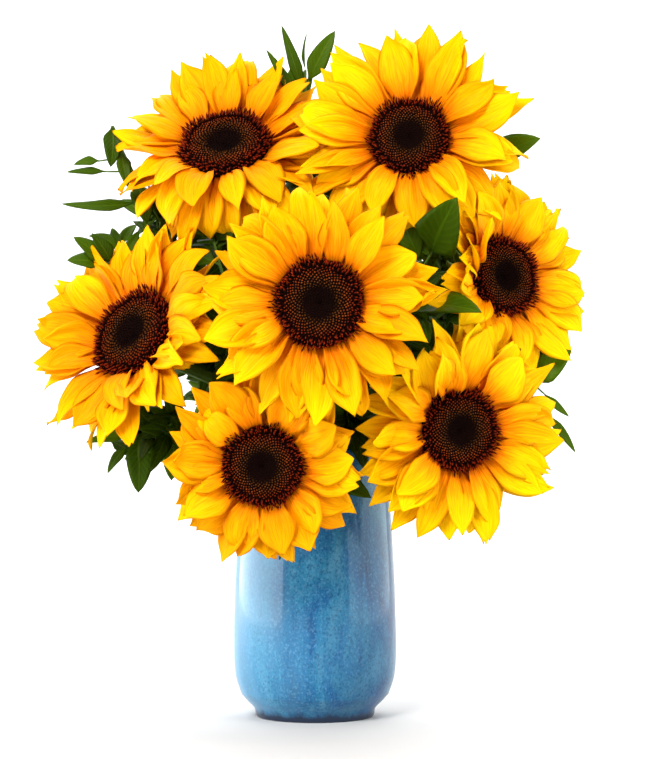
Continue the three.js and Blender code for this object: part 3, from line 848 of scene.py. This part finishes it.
# ---------- calyx cups and bracts

calyx = {
    # count, length, width, flare
    "bracts": [(17, 30.0, 9.5, 4.0), (15, 27.0, 9.0, 12.0), (13, 23.0, 8.0, 22.0)],
    "bractThick": 0.7,
    "top": -8.5,
    "bottom": -26.0,
    "green": (0.070, 0.150, 0.018),
    "pale": (0.16, 0.27, 0.045),
}


def makeGreen(name, deep, pale, rough, gloss, veins=True):
    look = Nodes(name)
    along, shade = look.value("along"), look.value("shade")
    aside = look.math("ABSOLUTE", look.value("across"))
    body = look.mix(shade, deep, pale)
    body = look.mix(look.times(look.noise(look.place(), 160, 3), 0.35), body, pale)
    if veins:
        slant = look.minus(look.times(along, 9.0), look.times(aside, 2.6))
        wave = look.math("ABSOLUTE", look.math("SINE", look.times(slant, math.pi)))
        wave = look.math("POWER", wave, 6.0)
        rib = look.ramp(aside, [(0.02, 1.0), (0.10, 0.0)])
        lines = look.math("MAXIMUM", look.times(wave, 0.35), rib)
        body = look.mix(look.times(lines, 0.4), body, tuple(1.5 * c + 0.003 for c in pale))
        look.bump(lines, 0.35, 0.0005)
    return look.paint(body, rough, gloss)


bractLook = makeGreen("bract", calyx["green"], calyx["pale"], 0.6, 0.2)


# middle points of a leaf; shape is how soon it is wide and how late it narrows, steps its grid
def blade(base, tip, width, face, arch, fold, shape, steps, sway=0.0):
    t = np.linspace(0, 1, steps[0])
    v = np.linspace(-1, 1, steps[1])
    reach = tip - base
    length = np.linalg.norm(reach)
    along = reach / length
    across = unit(np.cross(along, face))
    out = np.cross(across, along)
    bow = 4 * t * (1 - t)
    middle = base + reach * t[:, None] + out * (arch * length * bow)[:, None]
    middle = middle + across * (sway * length * bow)[:, None]
    wide, point = shape
    breadth = width * (0.10 + 0.90 * smooth01(t / wide)) * (1 - t ** point) ** 0.8 + 0.15 * mm
    crimp = 0.05 * breadth[:, None] * np.sin(7 * t)[:, None] * v ** 3
    lift = fold * np.abs(v) * breadth[:, None] / 2 + crimp
    grid = middle[:, None] + across * (v[:, None] * breadth[:, None, None] / 2) + out * lift[..., None]
    return grid, t, v


for name, bloom in blooms.items():
    rng = np.random.default_rng(bloom["seed"] + 500)
    r, top, bottom = bloom["disc"] / mm, calyx["top"], calyx["bottom"]
    profile = [(0, bottom), (5.2, bottom), (7.4, -25.2), (12, -22.4), (r * 0.7, -17.5), (r - 3.5, -12.5),
               (r - 1.5, -9.4), (r - 3, top), (0, top)]
    verts, faces = lathe(np.array(profile) * mm, 40)
    plain = {"along": 0.0, "across": 0.5, "shade": 0.4}
    addPiece(f"{name}CalyxCup", fromHead(bloom, verts), faces, bractLook, [f"{name}_calyx"], plain)
    heap = Heap()
    for count, length, width, flare in calyx["bracts"]:
        for angle in around(rng, count):
            turn = math.radians(angle)
            spoke = np.array([math.cos(turn), math.sin(turn), 0])
            base = spoke * (r * 0.50) + np.array([0, 0, -21.5])
            lean = math.radians(flare + rng.normal(0, 7))
            rise = np.array([0, 0, length * (0.50 - math.sin(lean) * 0.25)])
            tip = base + spoke * (length * math.cos(lean) * 0.86) + rise
            face = unit(-spoke * 0.3 + np.array([0, 0, -1.0]))
            broad = width * mm * rng.uniform(0.85, 1.1)
            sheet = blade(base * mm, tip * mm, broad, face, 0.12, -0.1, (0.25, 1.6), (9, 5))
            addShell(heap, sheet, calyx["bractThick"], rng.uniform(0, 1), bloom)
    heap.piece(f"{name}Bracts", bractLook, "stalk")
print("calyxes built")


# ---------- stems

stems = {
    "foot": 5.4,
    "top": 5.0,
    "flare": 1.6,         # added just under the head
    "ridge": 0.28,
    "sink": 0.3,          # how far the end stands below the calyx
    "steps": 64,
    "deep": (0.030, 0.070, 0.004),
    "pale": (0.090, 0.150, 0.016),
}

stemLook = Nodes("stem")
fibre = stemLook.noise(stemLook.place((1, 1, 0.10)), 420, 4, 0.6)
stemLook.paint(stemLook.mix(fibre, stems["deep"], stems["pale"]), 0.6, 0.1)
stemLook.bump(fibre, 0.5, 0.0006)


def ridges(turns, share):
    fine = 0.5 * np.cos(17 * turns - 9 * share + 1)
    return stems["ridge"] * mm * (np.cos(9 * turns + 5 * share) + fine - 1)


for name, bloom in blooms.items():
    facing = bloom["axes"][2]
    end = bloom["at"] + facing * (calyx["bottom"] - stems["sink"]) * mm
    line = stemLine(bundle["ring"], bloom["mouth"], bundle["foot"], bloom["rise"], end, facing, bloom["neck"],
                    stems["steps"])
    share = np.linspace(0, 1, len(line))
    flare = stems["flare"] * smooth01((share - 0.93) / 0.07)
    radii = (stems["foot"] + (stems["top"] - stems["foot"]) * share + flare) * mm
    verts, faces = tube(line, radii, 36, ridges)
    addPiece(f"{name}Stem", verts, faces, stemLook.material, [f"{name}_stem"])
print("stems built")


# ---------- greenery

greens = {
    "ring": 34.0,
    "foot": 112.0,
    "steps": 40,
    "pull": 0.8,
    "stalk": 1.5,
    "twig": (0.9, 0.5),
    "petiole": (0.8, 0.5),
    "leafThick": 0.45,
    "leafSteps": (12, 7),
    "swayStray": 0.03,
    "rowBack": 0.02,      # in mm: of the leaves in the rows, those behind the vase's axis face outwards
    "fillFrom": 0.42,
    "fillTurn": 137.5,
    "fillLift": 42.0,
    "fillLeaves": 6,
    "small": {"count": 46, "length": (22.0, 36.0), "width": (10.0, 16.0), "from": 0.26, "steps": (8, 5)},
    "tuft": {"length": (22, 34), "width": (11, 17), "past": -8.0},
}

# small leaves grow on the stalk up to its share `to`, and fill is how many twigs it has, with
# leaves of the length and width given
sprigKeys = ("mouth", "rise", "end", "comes", "tone", "to", "fill", "length", "width")
sprigRows = {
    "top": (83, 90, (-6, 4, 404), (0, -0.1, 1), 0.35, 0.86, 3, 34, 13),
    "right_high": (62, 80, (112, 2, 350), (0.7, -0.3, 0.6), 0.9, 0.66, 0),
    "left_high": (150, 60, (-126, -6, 368), (-0.3, -0.1, 1), 0.3, 0.80, 0),
    "left_mid": (163, 40, (-133, -5, 284), (-1, -0.3, 0.4), 0.35, 0.66, 2, 38, 15),
    # this sprig's low tone is painted shade: its leaves sit in shade between the heads
    "centre_left": (-150, 40, (-62, -34, 296), (-0.2, 0, 1), 0.15, 0.98, 0),
    "centre_right": (16, 40, (72, -50, 288), (0.5, -0.6, 0.7), 0.45, 0.98, 0),
    "right_low": (-29, 14, (136, -20, 208), (1, 0, 0.2), 0.5, 0.66, 0),
    "left_low": (-138, 14, (-110, -22, 176), (-1, 0, -0.3), 0.3, 0.94, 0),
    "front": (-67, 16, (22, -60, 188), (0.2, -1, 0.3), 0.25, 0.98, 0),
    "front_low": (-104, 12, (-14, -60, 160), (-0.1, -0.6, -0.8), 0.4, 0.98, 0),
    "back_1": (118, 40, (-92, 52, 232), (-1, 0.2, 0.3), 0.5, 0.98, 4, 50, 23),
    "back_2": (111, 70, (-62, 46, 320), (-0.5, 0.2, 0.9), 0.3, 0.98, 4, 50, 23),
    "back_3": (104, 20, (-44, 92, 196), (-0.4, 0.8, 0), 0.6, 0.98, 4, 48, 23),
    "back_4": (97, 60, (-16, 78, 286), (-0.1, 0.6, 0.8), 0.4, 0.98, 4, 50, 23),
    "back_5": (90, 80, (4, 46, 346), (0, 0.2, 1), 0.3, 0.98, 4, 48, 22),
    "back_6": (76, 20, (26, 96, 204), (0.3, 0.9, 0), 0.5, 0.98, 4, 48, 23),
    "back_7": (69, 60, (48, 62, 292), (0.5, 0.4, 0.8), 0.35, 0.98, 4, 50, 23),
    "back_8": (55, 40, (86, 54, 226), (1, 0.3, 0.2), 0.6, 0.98, 4, 50, 23),
    "right_back": (26, 50, (104, 22, 286), (0.7, 0.2, 0.7), 0.45, 0.98, 4, 48, 22),
}
sprigs = {name: dict(zip(sprigKeys, row)) for name, row in sprigRows.items()}

# share of the stalk where it joins, tip, width, share of the reach that is bare
sprigLeaves = {
    "top": [
        (0.93, (-21, 0, 431.6), 9, 0.1), (0.9, (-30.5, -3, 416), 9, 0.1), (0.96, (12.5, 0, 428), 13, 0.1),
        (1, (-5, 2, 427), 5, 0)],
    "right_high": [
        (0.96, (139.6, -18, 359), 20, 0.1), (0.62, (62, 52, 322), 20, 0.1), (0.8, (98, 36, 316), 20, 0.1)],
    "left_high": [
        (0.78, (-157.7, -12, 319), 9, 0.15), (0.84, (-104, -16, 306), 15, 0.1),
        (0.86, (-154.6, -8, 339), 6, 0.4), (0.9, (-150, -9, 343.5), 7, 0.5), (1, (-127, -9, 342), 13, 0),
        (0.93, (-116, -12, 329), 10, 0.1), (0.62, (-112, 22, 300), 16, 0.1), (0.5, (-118, 26, 262), 16, 0.1)],
    "left_mid": [
        (0.98, (-150, -10, 298.5), 12, 0), (0.94, (-139, -8, 301), 11, 0.1), (0.99, (-154, -10, 284), 12, 0)],
    "centre_left": [
        (1, (-79, -33, 318), 17, 0), (0.97, (-48, -36, 312), 15, 0.1), (0.88, (-84, -24, 290), 17, 0.1),
        (0.75, (-66, -52, 262), 16, 0.2), (0.62, (-74, -36, 226), 17, 0.1), (0.55, (-62, -58, 206), 16, 0.2)],
    "centre_right": [
        (0.97, (84, -98, 317), 30, 0.05), (0.7, (98, -104, 249), 24, 0.14), (0.8, (67.6, -84, 230), 9, 0.5),
        (0.7, (84, -28, 232), 16, 0.2), (0.9, (48, -46, 318), 16, 0.1)],
    "right_low": [
        (0.93, (158, -22, 228), 20, 0.05), (0.97, (157, -20, 187), 6, 0.3), (0.9, (161, -20, 164.6), 7, 0.4),
        (0.7, (118, -6, 176), 16, 0.1), (0.8, (124, 8, 232), 16, 0.1), (0.5, (88, 6, 196), 16, 0.1)],
    "left_low": [
        (0.98, (-142, -15, 171), 9, 0.1), (0.97, (-109, -20, 140), 17, 0.05), (0.99, (-128, -20, 152), 7, 0.3),
        (0.75, (-88, -30, 148), 15, 0.1), (0.6, (-84, 4, 176), 16, 0.1), (0.5, (-66, -40, 196), 15, 0.1)],
    "front": [
        (1, (42, -70, 200), 15, 0), (0.85, (36, -84, 195), 16, 0.1), (0.95, (10, -70, 206), 14, 0.1),
        (0.7, (44, -44, 210), 15, 0.1)],
    "front_low": [
        (1, (-21, -70, 102), 14, 0.1), (0.8, (-48, -62, 190), 14, 0.1), (0.9, (34, -68, 139), 16, 0.3)],
}

leafLook = makeGreen("leaf", (0.008, 0.021, 0.0004), (0.066, 0.132, 0.001), 0.42, 0.06)
stalkLook = makeGreen("stalk", (0.035, 0.080, 0.006), (0.085, 0.16, 0.015), 0.5, 0.15, veins=False)


# a leaf faces forward if its tip is no further back than this, else outwards
def leafFace(tip, back=20 * mm):
    if tip[1] < back:
        return np.array([0.15, -1, 0.45])
    return unit(np.array([tip[0], tip[1], 0])) + np.array([0, 0, 0.7])


# a small leaf is left out where it would stand in a head or in front of one
def clearOfHeads(base, tip, past=4.0):
    for spot in (tip, (base + tip) / 2):
        for bloom in blooms.values():
            x, y, z = (spot - bloom["at"]) @ bloom["axes"].T
            if math.hypot(x, y) < bloom["reach"] + past * mm and -14 * mm < z < 60 * mm:
                return False
    return True


def addBlade(heap, base, tip, width, face, arch, fold, shape, tone, steps=greens["small"]["steps"], sway=0.0):
    sheet = blade(base, tip, width, unit(face), arch, fold, shape, steps, sway)
    addShell(heap, sheet, greens["leafThick"], tone)


def addStalk(points, ends, sides, tone):
    verts, faces = tube(points, np.linspace(*ends, len(points)) * mm, sides)
    stalkHeap.add(verts, faces, {"along": 0.0, "across": 0.5, "shade": tone})


# the place on a sprig's line, and the line's direction there; the solids' shares count five legs,
# one inside the vase and four along the bend
def joint(line, at):
    legs, straight = at * 5, bundle["steps"]
    index = legs * straight if legs < 1 else straight + (legs - 1) / 4 * (greens["steps"] - 1)
    low = min(int(index), len(line) - 2)
    here = line[low] + (line[low + 1] - line[low]) * (index - low)
    return here, unit(line[low + 1] - line[low])


def addLeaf(rng, sprig, start, tip, width, bare, face, arch, fold, shape, tone):
    base = start + (tip - start) * bare
    sway = rng.normal(0, greens["swayStray"])
    addBlade(leafHeap, base, tip, width, face, arch, fold, shape, tone, greens["leafSteps"], sway)
    if bare > 0:
        addStalk(np.linspace(start, base + (tip - base) * 0.06, 5), greens["petiole"], 7, sprig["tone"])


def growSmallLeaves(rng, sprig, line):
    small = greens["small"]
    for _ in range(small["count"]):
        start, along = joint(line, rng.uniform(small["from"], sprig["to"]))
        aim = unit(along * rng.uniform(0.2, 0.9) + unit(rng.normal(0, 1, 3)))
        tip = start + aim * rng.uniform(*small["length"]) * mm
        if clearOfHeads(start, tip):
            # small leaves inside the bunch get half their sprig's tone: painted shade
            addBlade(smallHeap, start, tip, rng.uniform(*small["width"]) * mm,
                     leafFace(tip) + rng.normal(0, 0.35, 3), rng.uniform(0, 0.12), 0.25, (0.4, 2.1),
                     sprig["tone"] * 0.5 + rng.normal(0, 0.12))


def growTwig(rng, sprig, start, along, turn):
    side = unit(np.cross(along, [0.3, 0.2, 1]))
    side = side * math.cos(turn) + np.cross(along, side) * math.sin(turn)
    lift = math.radians(greens["fillLift"])
    way = along * math.cos(lift) + side * math.sin(lift)
    length, width = sprig["length"], sprig["width"]
    twigEnd = start + way * length * 0.62 * mm
    twig = np.linspace(start, twigEnd, 6) + np.outer(np.sin(np.linspace(0, math.pi, 6)), along) * 1.5 * mm
    addStalk(twig, greens["twig"], 7, sprig["tone"])
    tip = start + way * length * mm
    tone = sprig["tone"] + rng.normal(0, 0.15)
    face = leafFace(tip)
    addLeaf(rng, sprig, twigEnd, tip, width * 0.55 * mm, 0, face, 0.08, 0.3, (0.4, 2.0), tone)
    flat = unit(np.cross(way, face))
    for k in range(greens["fillLeaves"]):
        spot = start + (twigEnd - start) * (0.18 + 0.16 * k)
        hand = 1 if k % 2 else -1
        aim = unit(way * 0.75 + flat * hand * rng.uniform(0.7, 1.0) + unit(face) * rng.normal(0.05, 0.2))
        size = length * rng.uniform(0.45, 0.62) * mm
        addLeaf(rng, sprig, spot, spot + aim * size, width * rng.uniform(0.5, 0.66) * mm, 0.08,
                face + rng.normal(0, 0.25, 3), rng.uniform(0.02, 0.12), 0.3, (0.4, 2.1),
                tone + rng.normal(0, 0.1))


def growSprig(rng, sprig, leaves):
    line = stemLine(greens["ring"], sprig["mouth"], greens["foot"], sprig["rise"], np.array(sprig["end"]) * mm,
                    unit(sprig["comes"]), sprig["rise"] * greens["pull"], greens["steps"])
    addStalk(line[::2], (greens["stalk"], greens["stalk"] * 0.55), 7, sprig["tone"])
    growSmallLeaves(rng, sprig, line)
    for at, tip, width, bare in leaves:
        start = joint(line, at)[0]
        shape = (0.42, 2.0) if width < 11 else (0.36, 2.4)
        tone = sprig["tone"] + rng.normal(0, 0.12)
        face = leafFace(tip, greens["rowBack"])
        addLeaf(rng, sprig, start, np.array(tip) * mm, width * 1.08 * mm, bare, face, 0.07, 0.25, shape, tone)
    for i in range(sprig["fill"]):
        at = greens["fillFrom"] + (1 - greens["fillFrom"]) * (i + 0.5) / sprig["fill"]
        growTwig(rng, sprig, *joint(line, at), math.radians(greens["fillTurn"] * i + sprig["mouth"]))
    return line


# dark tufts between the heads, their dark tone painted shade: middle of the tuft, its spread, how many leaves
tufts = [
    ((-66, 8, 304), (20, 10, 20), 22), ((-80, 12, 322), (14, 8, 12), 10), ((-14, 8, 326), (14, 10, 16), 16),
    ((75, 4, 266), (12, 12, 30), 36), ((-88, 2, 212), (20, 12, 22), 20), ((-98, -6, 178), (16, 10, 18), 12),
    ((40, -22, 196), (16, 12, 14), 14), ((-62, -18, 232), (10, 14, 26), 16), ((128, 6, 222), (10, 8, 16), 8),
]


def growTufts(rng, lines):
    joints = np.concatenate(lines)
    tuft = greens["tuft"]
    for middle, spread, count in tufts:
        for _ in range(count):
            tip = (np.array(middle) + rng.uniform(-1, 1, 3) * spread) * mm
            root = joints[np.argmin(np.linalg.norm(joints - tip, axis=1))]
            way = unit(unit(tip - root) + rng.normal(0, 0.5, 3))
            base = tip - way * rng.uniform(*tuft["length"]) * mm
            if clearOfHeads(base, tip, tuft["past"]):
                # tuft leaves get a low tone: painted shade between the heads
                addBlade(smallHeap, base, tip, rng.uniform(*tuft["width"]) * mm,
                         np.array([0.1, -1, 0.3]) + rng.normal(0, 0.4, 3), rng.uniform(0, 0.1), 0.25,
                         (0.4, 2.1), rng.normal(0.12, 0.1))
                addStalk(np.linspace(root, base, 5), greens["petiole"], 5, 0.2)


leafHeap, smallHeap, stalkHeap = Heap(), Heap(), Heap()
lines = []
for order, (name, sprig) in enumerate(sprigs.items()):
    lines.append(growSprig(np.random.default_rng(900 + order), sprig, sprigLeaves.get(name, [])))
growTufts(np.random.default_rng(990), lines)
leafHeap.piece("greeneryLeaves", leafLook, "leaf", [f"sprig_{name}" for name in sprigs])
smallHeap.piece("greeneryInner", leafLook, "leaf")
stalkHeap.piece("greeneryStalks", stalkLook, "leaf")
print("greenery grown")


# ---------- floor

def buildFloor():
    reach, cove = studio["reach"], studio["cove"]
    path = [(-reach, 0.0)]
    path += [(reach + cove * math.sin(a), cove * (1 - math.cos(a))) for a in np.linspace(0, math.pi / 2, 14)]
    path += [(reach + cove, studio["wall"])]
    verts = [(x, y, z) for y, z in path for x in (-reach, reach)]
    faces = [(2 * i, 2 * i + 1, 2 * i + 3, 2 * i + 2) for i in range(len(path) - 1)]
    mesh = bpy.data.meshes.new("floor")
    mesh.from_pydata(verts, [], faces)
    mesh.shade_smooth()
    look = Nodes("floorLook")
    body = look.mix(look.noise(look.place(), 4, 2), studio["floor"], studio["grain"])
    mesh.materials.append(look.paint(body, 0.75, 0.2))
    floor = place("floor", mesh)
    floor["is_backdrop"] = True


buildFloor()

asLists = [[list(map(float, corner)) for corner in box] for box in (cadBox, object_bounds())]
